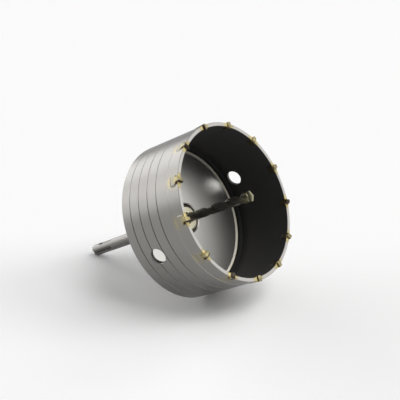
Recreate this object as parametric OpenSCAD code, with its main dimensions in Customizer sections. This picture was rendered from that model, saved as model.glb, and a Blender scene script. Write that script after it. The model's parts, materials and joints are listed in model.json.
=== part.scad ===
// Carbide tipped masonry core cutter: a short steel cup with a ring of brazed
// teeth, screwed on a hammer shank that also holds a pilot drill.
// Every piece is drawn about the cutter's own axis, with the back face of the cup
// at z = 0 and its mouth upwards. The whole tool is then laid down as it rests
// on a floor: on the back edge of the cup and the end of the shank.

/* [Cup] */
// Outer diameter of the cup
cup_d = 130; // [80:1:180]
// Length of the cup, from its back face to its steel rim
cup_h = 64; // [54:1:90]
// Thickness of the wall at the mouth
wall_t = 3.1; // [2.4:0.1:5]
// How much thicker the wall is at its root
root_step = 1.7; // [0.6:0.1:4]
// Height of the thick root
root_h = 12; // [11:0.5:20]
// Chamfer round the back edge
edge_chamfer = 1; // [0.3:0.1:2]
// Chamfer on both edges of the steel rim
rim_chamfer = 0.3; // [0.1:0.05:0.6]

/* [Turned grooves] */
// Number of grooves round the wall
groove_count = 4; // [0:1:4]
// Distance from the back face to the first groove, and between two grooves
groove_pitch = 9.9; // [6:0.1:10]
// Width of a groove at the surface
groove_w = 0.9; // [0.4:0.1:2]
// Depth of a groove
groove_depth = 0.55; // [0.2:0.05:1]
// Distance from the rim to the fine turned line
line_gap = 11.5; // [10:0.5:13]
// Width of the fine line
line_w = 0.4; // [0.2:0.05:0.8]
// Depth of the fine line
line_depth = 0.15; // [0.05:0.05:0.3]

/* [Side holes] */
// Number of holes through the wall
side_hole_count = 2; // [1:1:6]
// Diameter of a side hole
side_hole_d = 13; // [6:0.5:16]
// Height of the holes above the back face
side_hole_z = 22; // [21:0.5:26]
// Direction of the first hole
side_hole_angle = 12.5; // [0:0.5:90]
// Depth of the chamfer round a side hole, from the outermost wall
side_hole_chamfer = 0.6; // [0.3:0.05:1]

/* [Teeth] */
// Number of teeth
tooth_count = 13; // [6:1:20]
// Direction of the first tooth
tooth_angle = 92; // [0:0.5:180]
// Width of a carbide tip along the rim
tip_w = 3.4; // [2.4:0.1:5]
// Length of a tip
tip_len = 7.5; // [6:0.5:12]
// Height of a tip above the rim
tip_rise = 2; // [1:0.1:3]
// How far a tip stands out of the wall, inside and outside
tip_proud = 0.9; // [0.4:0.1:1.5]
// Distance from the tip's leading side to its cutting ridge
tip_ridge = 1.2; // [0.5:0.1:1.8]
// Drop of the tip's top from the ridge to its leading side
tip_rake = 0.5; // [0.2:0.05:0.8]
// Drop of the tip's top from the ridge to its trailing side
tip_relief = 0.8; // [0.3:0.05:0.9]
// Thickness of the braze round a tip
braze_t = 0.25; // [0.1:0.05:0.5]
// How far the braze runs along the rim behind a tip
braze_run_back = 3.8; // [1:0.1:5]
// How far the braze runs along the rim ahead of a tip
braze_run_front = 3.2; // [1:0.1:5]
// Height of the braze fillet against a tip
braze_rise = 0.9; // [0.4:0.1:1]
// How far the braze stands out of the wall
braze_proud = 0.4; // [0.1:0.1:0.4]

/* [Back plate] */
// Thickness of the back plate
plate_t = 9.2; // [6:0.1:10]
// Width of the bright ring, where the plate's edge rises to the wall
ring_w = 2.4; // [1:0.1:4]
// Rise of that ring
ring_rise = 0.9; // [0.4:0.1:1.5]
// Diameter of the threaded centre
thread_d = 22; // [16:1:26]
// Chamfer round the threaded hole, inside the cup
thread_chamfer = 1.9; // [0.5:0.1:3]
// Chamfer round the threaded hole, at the back
thread_back_chamfer = 1; // [0.5:0.1:2]

/* [Arbor] */
// How far the nose of the arbor stays below the inner face of the plate
nose_drop = 0.4; // [0:0.1:1]
// Chamfer round the nose
nose_chamfer = 1.5; // [0.5:0.1:2.5]
// Countersink round the drill's socket
socket_chamfer = 1; // [0.3:0.1:1.5]
// Depth of the undercut where the nose's thread ends at the collar
relief_depth = 1.2; // [0.5:0.1:1.5]
// Length of the undercut
relief_len = 2; // [1:0.1:2.5]
// Diameter of the collar behind the plate
collar_d = 31; // [28:0.5:40]
// Length of the collar
collar_t = 11; // [8:0.5:16]
// Chamfer round the collar
collar_chamfer = 0.8; // [0.3:0.1:1.5]
// Distance across the two wrench flats of the collar
flats_w = 27; // [24:0.5:28]
// Length of the wrench flats
flats_t = 7; // [4:0.5:7.5]
// Diameter of the neck behind the collar
neck_d = 17; // [13:0.5:22]
// Length of the neck
neck_len = 31; // [10:1:35]
// Length of the taper from the neck to the shank
taper_len = 6; // [3:0.5:7]

/* [Hammer shank] */
// Diameter of the shank
shank_d = 10; // [8:0.5:12.5]
// Distance from the back face of the cup to the end of the shank
shank_len = 109; // [90:1:140]
// Chamfer round the end of the shank
shank_chamfer = 1; // [0.3:0.1:1.5]
// Width of the two open drive slots
drive_w = 2.8; // [2:0.1:3.2]
// Depth of the open drive slots
drive_depth = 1.9; // [1:0.1:2]
// Length of the open drive slots
drive_len = 25; // [15:1:30]
// Radius of the two closed lock grooves
lock_r = 3.2; // [2:0.1:3.5]
// Depth of the closed lock grooves
lock_depth = 1.7; // [0.8:0.1:1.8]
// Distance from the end of the shank to the closed lock grooves
lock_start = 8; // [5:0.5:10]
// Length of the closed lock grooves
lock_len = 20; // [15:1:22]
// Direction of the first drive slot
drive_angle = 191; // [0:1:360]
// Diameter of the turning centre in the end
centre_d = 2.4; // [1:0.1:3]

/* [Pilot drill] */
// Diameter of the plain end that the arbor holds
pilot_shank_d = 8; // [6:0.5:10]
// Diameter over the spiral lands
pilot_d = 7.6; // [5:0.1:8]
// Diameter of the core between the flutes
pilot_core_d = 4.6; // [3:0.1:5]
// How far the point stands out of the steel rim
pilot_reach = 17; // [5:0.5:25]
// Length of the plain end above the plate
pilot_plain_len = 5; // [2:0.5:12]
// Depth of the socket that holds the plain end
socket_len = 26; // [18:1:36]
// Length that one flute takes for a whole turn
flute_lead = 34.5; // [24:0.5:45]
// Direction of the lands at the plain end
flute_phase = 148; // [0:1:179]
// Width of the carbide plate in the point
point_w = 8.6; // [7:0.1:10]
// Thickness of the carbide plate
point_t = 1.8; // [1.2:0.1:2.4]
// Length of the carbide plate
point_len = 10; // [7:0.5:12]
// Height of the roof of the carbide plate
point_roof = 2.2; // [1:0.1:3]
// Direction of the carbide plate's width
point_angle = 84; // [0:1:180]
// How far the steel of the drill stays behind the roof's corners
point_bare = 2.2; // [1:0.1:4]

/* [Set screw] */
// Diameter of the screw that holds the pilot drill
screw_d = 6; // [4:0.5:6]
// Length of the set screw
screw_len = 9; // [6:0.5:10]
// Distance across the flats of its hexagon socket
screw_key = 3; // [2:0.5:3]
// Depth of the hexagon socket
screw_key_depth = 3.2; // [1.5:0.1:4]
// Distance of the screw behind the plate
screw_drop = 4.5; // [4:0.5:5.5]
// Direction of the set screw
screw_angle = 60; // [0:5:355]
// Depth of the flat that the screw presses on
screw_flat = 0.5; // [0.2:0.1:1]

/* [Fits] */
// Clearance on the radius where one piece sits in another
fit = 0.05; // [0.02:0.01:0.15]

/* [Hidden] */
$fn = 96;
cup_r = cup_d / 2;
mouth_r = cup_r - wall_t;
root_r = mouth_r - root_step;
wall_mid_r = (cup_r + mouth_r) / 2;
tip_depth = wall_t + 2 * tip_proud;
slot_w = tip_w + 2 * braze_t;
slot_z = cup_h + tip_rise - tip_len - braze_t;
nose_z = plate_t - nose_drop;
pilot_base_z = nose_z - socket_len + fit;
neck_z = -collar_t - neck_len;
shank_z = neck_z - taper_len;
shank_r = shank_d / 2;
point_z = cup_h + pilot_reach;
point_base_z = point_z - point_len;
flute_z = plate_t + pilot_plain_len;
steel_end_z = point_z - point_roof - point_bare;
pilot_r = pilot_d / 2;
pilot_core_r = pilot_core_d / 2;
screw_flat_r = pilot_shank_d / 2 - screw_flat;
tooth_step = 360 / tooth_count;
drill_cone = 31;
land_edge = 0.68;
flute_edge = 0.38;
past = 1;

// The cup's axis leans so far that the back edge and the shank's end both touch the floor
lean = atan((cup_r - shank_r) / (shank_len - shank_chamfer + edge_chamfer));
rest_z = cup_r * cos(lean) - edge_chamfer * sin(lean);
tip_out_r = wall_mid_r + tip_depth / 2;
front_y = -(cup_h + tip_rise) * cos(lean) + sin(lean) * min([for (i = [1 : tooth_count])
    tip_out_r * sin(tip_turn(i)) - abs(tip_w / 2 * cos(tip_turn(i)))]);
back_y = shank_len * cos(lean) + (shank_r - shank_chamfer) * sin(lean);
rest_y = -(front_y + back_y) / 2;

function tip_turn(i) = tooth_angle + (i - 1) * tooth_step;
function two_digits(i) = str(i < 10 ? "0" : "", i);
function tip_name(i) = str("carbide_tip_", two_digits(i));
function braze_name(i) = str("braze_", two_digits(i));

// Lays the tool down in its resting pose
module at_rest() {
    translate([0, rest_y, rest_z])
        rotate([90 - lean, 0, 0])
            children();
}

// Turns a flat outline, drawn as [along the rim, along the axis], into a block
// that is centred on the wall in the direction of tooth i
module through_wall(i, depth) {
    rotate([0, 0, tip_turn(i)])
        translate([wall_mid_r, 0, 0])
            rotate([90, 0, 90])
                linear_extrude(depth, center = true)
                    children();
}

// A turned groove with sloping sides, z being its height on the wall
module groove_outline(z, width, depth) {
    polygon([
        [cup_r + past, z - width / 2],
        [cup_r, z - width / 2],
        [cup_r - depth, z - width / 6],
        [cup_r - depth, z + width / 6],
        [cup_r, z + width / 2],
        [cup_r + past, z + width / 2]
    ]);
}

module wall_outline() {
    difference() {
        polygon([
            [root_r, 0],
            [cup_r - edge_chamfer, 0],
            [cup_r, edge_chamfer],
            [cup_r, cup_h - rim_chamfer],
            [cup_r - rim_chamfer, cup_h],
            [mouth_r + rim_chamfer, cup_h],
            [mouth_r, cup_h - rim_chamfer],
            [mouth_r, root_h + root_step],
            [root_r, root_h]
        ]);
        for (i = [1 : 1 : groove_count])
            groove_outline(i * groove_pitch, groove_w, groove_depth);
        groove_outline(cup_h - line_gap, line_w, line_depth);
    }
}

module cup_shell() {
    color([0.66, 0.65, 0.63])
        difference() {
            rotate_extrude($fn = 180) wall_outline();
            for (i = [1 : tooth_count])
                through_wall(i, tip_depth + 2 * past)
                    translate([-slot_w / 2, slot_z]) square([slot_w, cup_h]);
            for (i = [1 : side_hole_count])
                rotate([0, 0, side_hole_angle + (i - 1) * 360 / side_hole_count])
                    translate([0, 0, side_hole_z])
                        rotate([0, 90, 0]) {
                            cylinder(h = cup_r + past, d = side_hole_d);
                            translate([0, 0, cup_r - side_hole_chamfer])
                                cylinder(h = side_hole_d, d1 = side_hole_d, d2 = 3 * side_hole_d);
                        }
        }
}

// The plate's edge rises to the wall in a bright turned cone
module plate_outline() {
    plate_r = root_r - fit;
    bore_r = thread_d / 2 + fit;
    polygon([
        [bore_r, thread_back_chamfer],
        [bore_r + thread_back_chamfer, 0],
        [plate_r, 0],
        [plate_r, plate_t + ring_rise],
        [plate_r - ring_w, plate_t],
        [bore_r + thread_chamfer, plate_t],
        [bore_r, plate_t - thread_chamfer]
    ]);
}

module back_plate() {
    color([0.55, 0.54, 0.52])
        rotate_extrude($fn = 180) plate_outline();
}

module arbor_outline() {
    socket_r = pilot_shank_d / 2 + fit;
    socket_z = nose_z - socket_len;
    nose_r = thread_d / 2;
    polygon([
        [0, -shank_len],
        [shank_r - shank_chamfer, -shank_len],
        [shank_r, -shank_len + shank_chamfer],
        [shank_r, shank_z],
        [neck_d / 2, neck_z],
        [neck_d / 2, -collar_t],
        [collar_d / 2 - collar_chamfer, -collar_t],
        [collar_d / 2, -collar_t + collar_chamfer],
        [collar_d / 2, -collar_chamfer],
        [collar_d / 2 - collar_chamfer, 0],
        [nose_r - relief_depth, 0],
        [nose_r - relief_depth, relief_len],
        [nose_r, relief_len + relief_depth],
        [nose_r, nose_z - nose_chamfer],
        [nose_r - nose_chamfer, nose_z],
        [socket_r + socket_chamfer, nose_z],
        [socket_r, nose_z - socket_chamfer],
        [socket_r, socket_z],
        [0, socket_z - socket_r * tan(drill_cone)]
    ]);
}

// An open slot runs out of the shank's end and has flat walls
module drive_slot() {
    translate([shank_r - drive_depth, -drive_w / 2, -shank_len - past])
        cube([shank_d, drive_w, drive_len + past - drive_w / 2]);
    translate([shank_r - drive_depth, 0, -shank_len + drive_len - drive_w / 2])
        rotate([0, 90, 0])
            cylinder(h = shank_d, d = drive_w);
}

// A closed groove with a round bottom, where the chuck's ball locks
module lock_groove() {
    ball_x = shank_r - lock_depth + lock_r;
    for (z = [lock_start + lock_r, lock_start + lock_len - lock_r])
        translate([ball_x, 0, -shank_len + z])
            sphere(lock_r, $fn = 48);
    translate([ball_x, 0, -shank_len + lock_start + lock_r])
        cylinder(h = lock_len - 2 * lock_r, r = lock_r, $fn = 48);
}

module arbor() {
    color([0.62, 0.62, 0.61])
        difference() {
            rotate_extrude() arbor_outline();
            for (side = [-1, 1])
                translate([side * (flats_w + collar_d) / 2, 0, -collar_t + flats_t / 2 - past])
                    cube([collar_d, collar_d, flats_t + 2 * past], center = true);
            rotate([0, 0, screw_angle])
                translate([0, 0, -screw_drop])
                    rotate([0, 90, 0])
                        cylinder(h = collar_d, r = screw_d / 2 + fit);
            for (side = [0, 180])
                rotate([0, 0, drive_angle + side]) {
                    drive_slot();
                    rotate([0, 0, 90]) lock_groove();
                }
            translate([0, 0, -shank_len - 0.01])
                cylinder(h = centre_d, d1 = centre_d, d2 = 0, $fn = 48);
        }
}

module set_screw() {
    color([0.16, 0.16, 0.17])
        rotate([0, 0, screw_angle])
            translate([screw_flat_r, 0, -screw_drop])
                rotate([0, 90, 0])
                    difference() {
                        union() {
                            cylinder(h = 1, d1 = screw_d - 2, d2 = screw_d);
                            translate([0, 0, 1]) cylinder(h = screw_len - 1, d = screw_d);
                        }
                        translate([0, 0, screw_len - screw_key_depth])
                            cylinder(h = screw_len, d = screw_key / cos(30), $fn = 6);
                    }
}

// Radius of the drill's section: two wide lands with a round flute between them.
// The edges are the cosines of the directions where a land and a flute end.
function land_share(a) = max(0, min(1, (abs(cos(a)) - flute_edge) / (land_edge - flute_edge)));
function flute_r(a) = pilot_core_r
    + (pilot_r - pilot_core_r) * (1 - cos(180 * land_share(a))) / 2;

module flute_section() {
    polygon([for (a = [0 : 10 : 350]) flute_r(a) * [cos(a), sin(a)]]);
}

// The slot across the drill's point, as wide as the given thickness
module point_slot(thickness) {
    rotate([0, 0, point_angle])
        translate([-point_w, -thickness / 2, point_base_z])
            cube([2 * point_w, thickness, point_len + past]);
}

module pilot_drill() {
    flute_len = steel_end_z - flute_z;
    color([0.14, 0.14, 0.14])
        difference() {
            union() {
                translate([0, 0, pilot_base_z])
                    cylinder(h = flute_z - pilot_base_z, d = pilot_shank_d);
                translate([0, 0, flute_z - past])
                    rotate([0, 0, flute_phase])
                        linear_extrude(flute_len + past, twist = -360 * (flute_len + past) / flute_lead,
                            slices = ceil((flute_len + past) / flute_lead * 24), convexity = 4, $fn = 36)
                            flute_section();
            }
            rotate([0, 0, screw_angle])
                translate([screw_flat_r, -pilot_shank_d, -screw_drop - screw_d])
                    cube([pilot_shank_d, 2 * pilot_shank_d, 2 * screw_d]);
            point_slot(point_t + 2 * braze_t);
        }
}

module pilot_point() {
    color([0.45, 0.44, 0.38])
        rotate([0, 0, point_angle])
            rotate([90, 0, 0])
                linear_extrude(point_t, center = true)
                    polygon([
                        [-point_w / 2, point_base_z + braze_t],
                        [point_w / 2, point_base_z + braze_t],
                        [point_w / 2, point_z - point_roof],
                        [0, point_z],
                        [-point_w / 2, point_z - point_roof]
                    ]);
}

// The braze fills the slot round the plate as far as the drill's steel reaches
module pilot_braze() {
    color([0.74, 0.66, 0.36])
        difference() {
            intersection() {
                point_slot(point_t + 2 * braze_t);
                translate([0, 0, point_base_z - past])
                    cylinder(h = steel_end_z - point_base_z + past, r = pilot_core_r);
            }
            rotate([0, 0, point_angle])
                translate([-point_w, -point_t / 2, point_base_z + braze_t])
                    cube([2 * point_w, point_t, point_len]);
        }
}

// A tip seen from outside the cup: its cutting edge leads on the right
module tip_outline() {
    top = cup_h + tip_rise;
    polygon([
        [-tip_w / 2, slot_z + braze_t],
        [tip_w / 2, slot_z + braze_t],
        [tip_w / 2, top - tip_rake],
        [tip_w / 2 - tip_ridge, top],
        [-tip_w / 2, top - tip_relief]
    ]);
}

module carbide_tip(i) {
    color([0.50, 0.49, 0.42])
        through_wall(i, tip_depth) tip_outline();
}

// The braze lines the slot and runs out on the rim in a hollow fillet on each side
module braze_outline() {
    side = slot_w / 2;
    polygon([
        [-side, slot_z],
        [side, slot_z],
        [side, cup_h],
        [side + braze_run_front, cup_h],
        [side + braze_run_front / 3, cup_h + braze_rise / 4],
        [tip_w / 2, cup_h + braze_rise],
        [-tip_w / 2, cup_h + braze_rise],
        [-side - braze_run_back / 3, cup_h + braze_rise / 4],
        [-side - braze_run_back, cup_h],
        [-side, cup_h]
    ]);
}

module braze(i) {
    color([0.84, 0.78, 0.55])
        through_wall(i, wall_t + 2 * braze_proud)
            difference() {
                braze_outline();
                tip_outline();
            }
}

at_rest() cup_shell();
at_rest() back_plate();
at_rest() arbor();
at_rest() set_screw();
at_rest() pilot_drill();
at_rest() pilot_point();
at_rest() pilot_braze();
for (i = [1 : tooth_count]) {
    at_rest() carbide_tip(i);
    at_rest() braze(i);
}
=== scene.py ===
# %% [markdown]
# # A carbide tipped masonry core cutter
# The object is a tool for sawing round holes into brick and block: a short wide steel cup
# with brazed carbide teeth on its rim, screwed on a hammer shank that also holds a pilot
# drill. This lesson takes the finished construction as it is and gives it its looks: the
# satin turned wall, the black coat inside, the turned plate, the black drill and the brass
# coloured braze that has run out round every tooth.

# %% Load the construction
import json
import math

import bpy
import bmesh
import numpy as np
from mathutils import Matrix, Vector


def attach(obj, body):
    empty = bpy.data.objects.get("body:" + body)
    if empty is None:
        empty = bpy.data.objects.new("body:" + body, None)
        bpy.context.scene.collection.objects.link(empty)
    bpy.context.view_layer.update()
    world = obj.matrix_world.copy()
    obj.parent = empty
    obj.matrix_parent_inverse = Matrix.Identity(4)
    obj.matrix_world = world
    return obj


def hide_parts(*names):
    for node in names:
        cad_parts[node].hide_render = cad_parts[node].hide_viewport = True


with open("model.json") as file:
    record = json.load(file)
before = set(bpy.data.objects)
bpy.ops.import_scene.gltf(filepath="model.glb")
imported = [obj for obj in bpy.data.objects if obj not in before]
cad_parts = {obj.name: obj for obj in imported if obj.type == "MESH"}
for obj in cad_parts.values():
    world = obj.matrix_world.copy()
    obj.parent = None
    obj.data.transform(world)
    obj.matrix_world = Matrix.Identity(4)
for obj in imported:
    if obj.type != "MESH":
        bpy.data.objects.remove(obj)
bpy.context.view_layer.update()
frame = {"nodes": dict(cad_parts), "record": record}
nodes = frame["nodes"]
print(f"loaded {len(nodes)} pieces")

# %% [markdown]
# ## The tool's own frame
# The tool lies on the floor on the back edge of its cup and the end of its shank, so its
# axis leans. Every shape and pattern here is simple only about that axis. The tool could be
# made standing and be turned at the end, but its objects must stay unturned, so shapes are
# worked out in the tool's own millimetres and one function moves their points: z runs along
# the axis with 0 at the back face of the cup, and x is level. The shank's mount says where
# the axis lies.

# %% From the tool's millimetres to the scene's metres
MM = 0.001
MOUNT_Z = -78.0  # where the shank's mount lies along the axis
shank = frame["record"]["mounts"][0]
tool_z = -np.array(shank["axis"], float)
tool_x = np.array([1.0, 0.0, 0.0])
tool_y = np.cross(tool_z, tool_x)
tool_origin = np.array(shank["pos_m"]) - tool_z * MOUNT_Z * MM
lean = math.atan2(tool_z[2], -tool_z[1])


def to_scene(points):
    """Tool millimetres to scene metres: origin + x along tool_x + y along tool_y + z along tool_z."""
    axes = np.stack([tool_x, tool_y, tool_z])
    return tool_origin + MM * (np.asarray(points, float) @ axes)


print(f"the axis leans {math.degrees(lean):.2f} degrees; the back face is at {tool_origin.round(4)}")

# %% [markdown]
# ## Camera
# The camera stands where the photo's stood. It could be placed by eye; here the ellipses of
# the rim and of the back edge gave its direction, its distance and its lens, because a short
# wide cup shows every degree that the view is off.

# %% Camera
CAM_AZIMUTH = -54.30
CAM_ELEVATION = 21.71
CAM_DISTANCE = 0.8442
CAM_AIM = (0.0344, 0.0004, 0.0628)
FOCAL_PX = 985.4
PHOTO_PX = 400
SENSOR_MM = 36.0

azimuth, elevation = math.radians(CAM_AZIMUTH), math.radians(CAM_ELEVATION)
level = math.cos(elevation)
backwards = np.array([math.sin(azimuth) * level, -math.cos(azimuth) * level, math.sin(elevation)])
cam_data = bpy.data.cameras.new("camera")
cam_data.sensor_width = SENSOR_MM
cam_data.lens = SENSOR_MM * FOCAL_PX / PHOTO_PX
camera = bpy.data.objects.new("camera", cam_data)
camera.location = np.array(CAM_AIM) + backwards * CAM_DISTANCE
camera.rotation_euler = (math.pi / 2 - elevation, 0.0, azimuth)
bpy.context.scene.collection.objects.link(camera)
bpy.context.scene.camera = camera
bpy.context.scene.view_settings.view_transform = "Standard"
print("camera at", [round(c, 4) for c in camera.location])

# %% [markdown]
# ## Helpers for colours and nodes
# A colour is written as it looks on a screen, in sRGB hex, but a shader reckons in linear
# light, so one function turns the first into the second. A material could be wired by hand
# in the node editor. Here one small helper adds a node, sets its properties and fills its
# inputs with values or links, so that each step of a finish reads as one call.


# %% Small helpers for colours and nodes
def srgb(hex_colour):
    """An sRGB hex colour as linear red, green, blue and alpha."""
    parts = [int(hex_colour[i:i + 2], 16) / 255 for i in (1, 3, 5)]
    linear = [c / 12.92 if c <= 0.04045 else ((c + 0.055) / 1.055) ** 2.4 for c in parts]
    return (*linear, 1.0)


def add(tree, kind, inputs=None, **settings):
    """Adds a node, sets its properties and fills its inputs with values or links."""
    node = tree.nodes.new(kind)
    for name, value in settings.items():
        setattr(node, name, value)
    for name, value in (inputs or {}).items():
        socket = node.inputs[name]
        if isinstance(value, bpy.types.NodeSocket):
            tree.links.new(value, socket)
        else:
            socket.default_value = value
    return node


def new_material(name):
    """An empty node material, its tree and its output node."""
    material = bpy.data.materials.new(name)
    material.use_nodes = True
    tree = material.node_tree
    tree.nodes.clear()
    return material, tree, tree.nodes.new("ShaderNodeOutputMaterial")


print(f"a middle grey on the screen is {srgb('#808080')[0]:.3f} in linear light")

# %% [markdown]
# ## Floor
# A cut-out product photo has no visible floor, but a tool that floats looks wrong, so white
# paper keeps the soft shadow. It could be a bent backdrop; a flat square that reaches past
# every view is simpler, and satin metal mirrors it evenly. Paper is matt, so a plain diffuse
# shader is enough.

# %% Floor
FLOOR_HALF = 8.0
material, tree, output = new_material("pale_paper_floor")
paper = add(tree, "ShaderNodeBsdfDiffuse", {"Color": srgb("#ffffff")})
tree.links.new(paper.outputs[0], output.inputs["Surface"])
mesh = bpy.data.meshes.new("floor")
corners = [(FLOOR_HALF * x, FLOOR_HALF * y, 0) for x, y in ((-1, -1), (1, -1), (1, 1), (-1, 1))]
mesh.from_pydata(corners, [], [(0, 1, 2, 3)])
floor = bpy.data.objects.new("floor", mesh)
mesh.materials.append(material)
bpy.context.scene.collection.objects.link(floor)
print(f"a paper floor {2 * FLOOR_HALF:.0f} m wide")

# %% [markdown]
# ## Light
# Satin metal shows what stands round it, so the lamps' places matter more than their
# strength. A low row of three behind the tool gives the upper left of the wall its sheen.
# Lamps high in front and to the right reach into the cup, where the plate mirrors them on
# its left half and the black wall on its right half. One lamp low in front lights the rim's
# ground face. The underside of the wall mirrors the shaded floor. A dim even room fills the
# rest, and all lamps together light a white floor just to white. Softboxes would do the same,
# but far round lamps need no distance and give every view the same light.

# %% Room
ROOM_LEVEL = 0.25
world = bpy.data.worlds.new("studio")
world.use_nodes = True
bpy.context.scene.world = world
tree = world.node_tree
tree.nodes.clear()
room = add(tree, "ShaderNodeBackground", {"Color": (1, 1, 1, 1), "Strength": ROOM_LEVEL})
tree.links.new(room.outputs[0], tree.nodes.new("ShaderNodeOutputWorld").inputs["Surface"])
print(f"a white room at {ROOM_LEVEL}")

# %% Lamps
LAMP_SPREAD = 28.0
LAMPS = {  # name: azimuth from +Y towards +X, elevation, strength
    "back_left": (-35, 15, 0.51),
    "back": (-10, 18, 0.45),
    "back_right": (17, 18, 0.58),
    "right": (90, 35, 0.28),
    "front_low": (129, 15, 0.25),
    "front_right": (148, 36, 0.78),
    "right_high": (120, 60, 0.30),
    "front_high": (180, 60, 0.97),
}


def soft_sun(name, azimuth, elevation, strength):
    """A far round lamp that shines from the given direction in degrees."""
    azimuth, elevation = math.radians(azimuth), math.radians(elevation)
    level = math.cos(elevation)
    direction = Vector((math.sin(azimuth) * level, math.cos(azimuth) * level, math.sin(elevation)))
    data = bpy.data.lights.new(name, "SUN")
    data.angle = math.radians(LAMP_SPREAD)
    data.energy = strength
    lamp = bpy.data.objects.new(name, data)
    lamp.rotation_euler = (-direction).to_track_quat("-Z", "Y").to_euler()
    bpy.context.scene.collection.objects.link(lamp)


for name, (azimuth_deg, elevation_deg, strength) in LAMPS.items():
    soft_sun(name, azimuth_deg, elevation_deg, strength)
print(f"{len(LAMPS)} lamps, {LAMP_SPREAD:.0f} degrees wide")

# %% [markdown]
# ## Where a point lies on the tool
# A lathe leaves rings, a painter masks along an edge, and heat spreads from the teeth. All
# of that follows the tool's axis, so the materials need the height along it and the distance
# from it. UV maps could carry that, piece by piece. A Mapping node of type Texture undoes a
# move, a turn and a scale, so here one node turns the object's coordinates straight into the
# tool's millimetres, for every piece alike.


# %% Tool coordinates for materials
def tool_place(tree):
    """The shaded point in the tool's millimetres, its height along the axis and its radius."""
    coords = add(tree, "ShaderNodeTexCoord")
    place = add(tree, "ShaderNodeMapping", {
        "Vector": coords.outputs["Object"], "Location": tuple(tool_origin),
        "Rotation": (math.pi / 2 - lean, 0, 0), "Scale": (MM, MM, MM),
    }, vector_type="TEXTURE")
    height = add(tree, "ShaderNodeSeparateXYZ", {0: place.outputs[0]})
    flat = add(tree, "ShaderNodeVectorMath", {0: place.outputs[0], 1: (1, 1, 0)}, operation="MULTIPLY")
    radius = add(tree, "ShaderNodeVectorMath", {0: flat.outputs[0]}, operation="LENGTH")
    return place.outputs[0], height.outputs["Z"], radius.outputs["Value"]


def toward(tree, place, turn):
    """How far a point lies from the axis in one direction across the tool: x cos(turn) + y sin(turn)."""
    return add(tree, "ShaderNodeVectorMath", {
        0: place, 1: (math.cos(turn), math.sin(turn), 0)}, operation="DOT_PRODUCT").outputs["Value"]


print(f"patterns are turned by {90 - math.degrees(lean):.2f} degrees to follow the axis")

# %% [markdown]
# ## Masks and layers
# A finish is built up in layers, as on the bench: bare steel first, then dust in a groove,
# stains from the heat, paint. A layer covers what is under it where its mask is 1. Masks
# could be painted by hand on a UV map. Here they are worked out from measures, because every
# edge on a turned tool is a circle: a step says at which height or radius the mask begins
# and where it is complete, and several steps multiply.

# %% Masks and layers
COLOURS = ("RGBA", 6, 7, 2)  # a Mix node's kind, its two inputs and its output
NUMBERS = ("FLOAT", 2, 3, 0)


def mask(tree, *steps):
    """The product of all steps. A step is a share that is known already, or (measure, start, end):
    0 at the start, 1 at the end and 3 s squared - 2 s cubed between them."""
    share = None
    for step in steps:
        if isinstance(step, tuple):
            measure, start, end = step
            step = add(tree, "ShaderNodeMapRange", {
                "Value": measure, "From Min": start, "From Max": end},
                interpolation_type="SMOOTHSTEP").outputs[0]
        if share is not None:
            step = add(tree, "ShaderNodeMath", {0: share, 1: step}, operation="MULTIPLY").outputs[0]
        share = step
    return share


def layer(tree, under, over, *steps):
    """under * (1 - mask) + over * mask, for colours as hex text or links, and for numbers."""
    pair = [srgb(value) if isinstance(value, str) else value for value in (under, over)]
    plain = [isinstance(value, float) or getattr(value, "type", None) == "VALUE" for value in pair]
    kind, first, second, result = NUMBERS if all(plain) else COLOURS
    return add(tree, "ShaderNodeMix", {0: mask(tree, *steps), first: pair[0], second: pair[1]},
               data_type=kind).outputs[result]


def finished(material, tree, output, surface):
    """Closes a material with a Principled shader that has the given surface."""
    shader = add(tree, "ShaderNodeBsdfPrincipled", surface)
    tree.links.new(shader.outputs[0], output.inputs["Surface"])
    print(f"{material.name}: {len(tree.nodes)} nodes")
    return material


print(f"layers mix a Mix node's inputs {COLOURS[1:3]} for colours and {NUMBERS[1:3]} for numbers")

# %% [markdown]
# ## Marks of the lathe and of the teeth
# A lathe tool leaves fine uneven rings. They could be cut into the mesh, but noise that is
# long round the axis and short along it gives them as a bump that costs no faces. The real
# feed, some tenths of a millimetre, is too fine to show, so the rings are drawn coarser. The
# stains of the brazing repeat at all thirteen teeth, as the sine and the cosine of thirteen
# times the angle about the axis do. Stretched to millimetres, the sine says how far along the
# rim a point lies from the middle of its tooth.

# %% Lathe rings, and where the teeth are
CUP_R, CUP_H, WALL_T = 65.0, 64.0, 3.1
TOOTH_COUNT, TOOTH_ANGLE, TIP_W = 13, 92.0, 3.4
WALL_MID = CUP_R - WALL_T / 2
ALONG_RING = 0.02  # how much slower the rings' noise runs round the tool than a millimetre


def turned_bump(tree, place, pitch, depth):
    """Noise of (x ALONG_RING, y ALONG_RING, z / pitch), as a bump; pitch and depth in millimetres."""
    squeeze = add(tree, "ShaderNodeVectorMath", {
        0: place, 1: (ALONG_RING, ALONG_RING, 1 / pitch)}, operation="MULTIPLY")
    rings = add(tree, "ShaderNodeTexNoise", {"Vector": squeeze.outputs[0], "Scale": 1.0, "Detail": 3.0})
    return add(tree, "ShaderNodeBump", {
        "Height": rings.outputs[0], "Distance": depth * MM, "Strength": 1.0}).outputs[0]


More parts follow.
